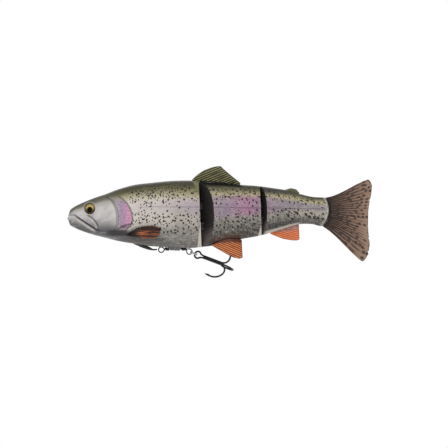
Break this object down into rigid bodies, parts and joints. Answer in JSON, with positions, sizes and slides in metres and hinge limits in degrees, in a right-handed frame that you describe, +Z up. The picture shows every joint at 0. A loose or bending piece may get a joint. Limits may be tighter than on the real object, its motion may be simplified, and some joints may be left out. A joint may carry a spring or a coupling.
{
  "type": "jointed swimbait fishing lure",
  "caption": "Jointed line-through trout swimbait with hinged soft body sections, soft fins, glass-like eyes and a belly rig wire carrying a split ring and treble hook.",
  "frame": {"origin": "centre of the line entry in the nose, on the fish's middle plane", "axes": "+X runs from nose to tail, +Z is up, +Y is the fish's right side"},
  "size_m": [0.2502, 0.0386, 0.092],
  "materials": {
    "body_skin": "satin soft vinyl with printed olive, silver and pink trout pattern",
    "hinge_nylon": "moulded black nylon",
    "tube_black": "drawn plastic tube",
    "sleeve_rubber": "matt black rubber",
    "ballast_steel": "turned steel rod",
    "eye_gold": "gold foil iris under print",
    "eye_dome": "clear domed epoxy over a black pupil",
    "orange_fin": "soft translucent orange fin with brown edge",
    "dorsal_fin": "soft olive fin with yellow rays",
    "tail_fin": "soft brown fin with dark spots",
    "bright_steel": "polished stainless wire",
    "rig_wire": "black nickel wire",
    "hook_wire": "black nickel hook steel"
  },
  "bodies": {
    "front_section": {"front_body": "body_skin", "front_frame": "hinge_nylon", "line_tube": "tube_black", "nose_grommet": "bright_steel", "exit_sleeve": "sleeve_rubber", "front_ballast": "ballast_steel", "left_eye_disc": "eye_gold", "right_eye_disc": "eye_gold", "left_eye_dome": "eye_dome", "right_eye_dome": "eye_dome", "left_pectoral_fin": "orange_fin", "right_pectoral_fin": "orange_fin", "dorsal_fin": "dorsal_fin"},
    "middle_section": {"middle_body": "body_skin", "middle_frame": "hinge_nylon", "front_hinge_pin": "bright_steel", "front_pin_plug": "body_skin", "middle_ballast": "ballast_steel", "left_pelvic_fin": "orange_fin", "right_pelvic_fin": "orange_fin"},
    "rear_section": {"rear_body": "body_skin", "rear_frame": "hinge_nylon", "rear_hinge_pin": "bright_steel", "rear_pin_plug": "body_skin", "anal_fin": "orange_fin", "tail_pin": "bright_steel"},
    "tail": {"tail_fin": "tail_fin"},
    "rig": {"rig_link": "rig_wire"},
    "ring": {"split_ring": "bright_steel"},
    "hook": {"hook_double_wire": "hook_wire", "hook_third_wire": "hook_wire", "hook_braze": "hook_wire"}
  },
  "joints": [
    {"name": "front_joint", "type": "hinge", "parent": "front_section", "child": "middle_section", "pos_m": [0.1108, 0, 0], "axis": [-0.0436, 0, 0.999], "range_deg": [-30, 30], "deforming": ["left_pelvic_fin", "right_pelvic_fin"]},
    {"name": "rear_joint", "type": "hinge", "parent": "middle_section", "child": "rear_section", "pos_m": [0.16, 0, 0], "axis": [-0.0366, 0, 0.9993], "range_deg": [-20, 20]},
    {"name": "tail_flex", "type": "hinge", "parent": "rear_section", "child": "tail", "pos_m": [0.2105, 0, 0], "axis": [0, 0, 1], "range_deg": [-12, 12], "stiffness_Nm_per_rad": 0.02},
    {"name": "rig_release", "type": "slide", "parent": "front_section", "child": "rig", "axis": [0, 0, -1], "range_m": [0, 0.01]},
    {"name": "ring_swing", "type": "hinge", "parent": "rig", "child": "ring", "pos_m": [0.09995, 0, -0.02839], "axis": [0.3584, 0, 0.9336], "range_deg": [-65, 15]},
    {"name": "hook_swing", "type": "hinge", "parent": "ring", "child": "hook", "pos_m": [0.10397, 0.00201, -0.02993], "axis": [-0.3945, 0.9063, 0.1515], "range_deg": [0, 100]}
  ]
}
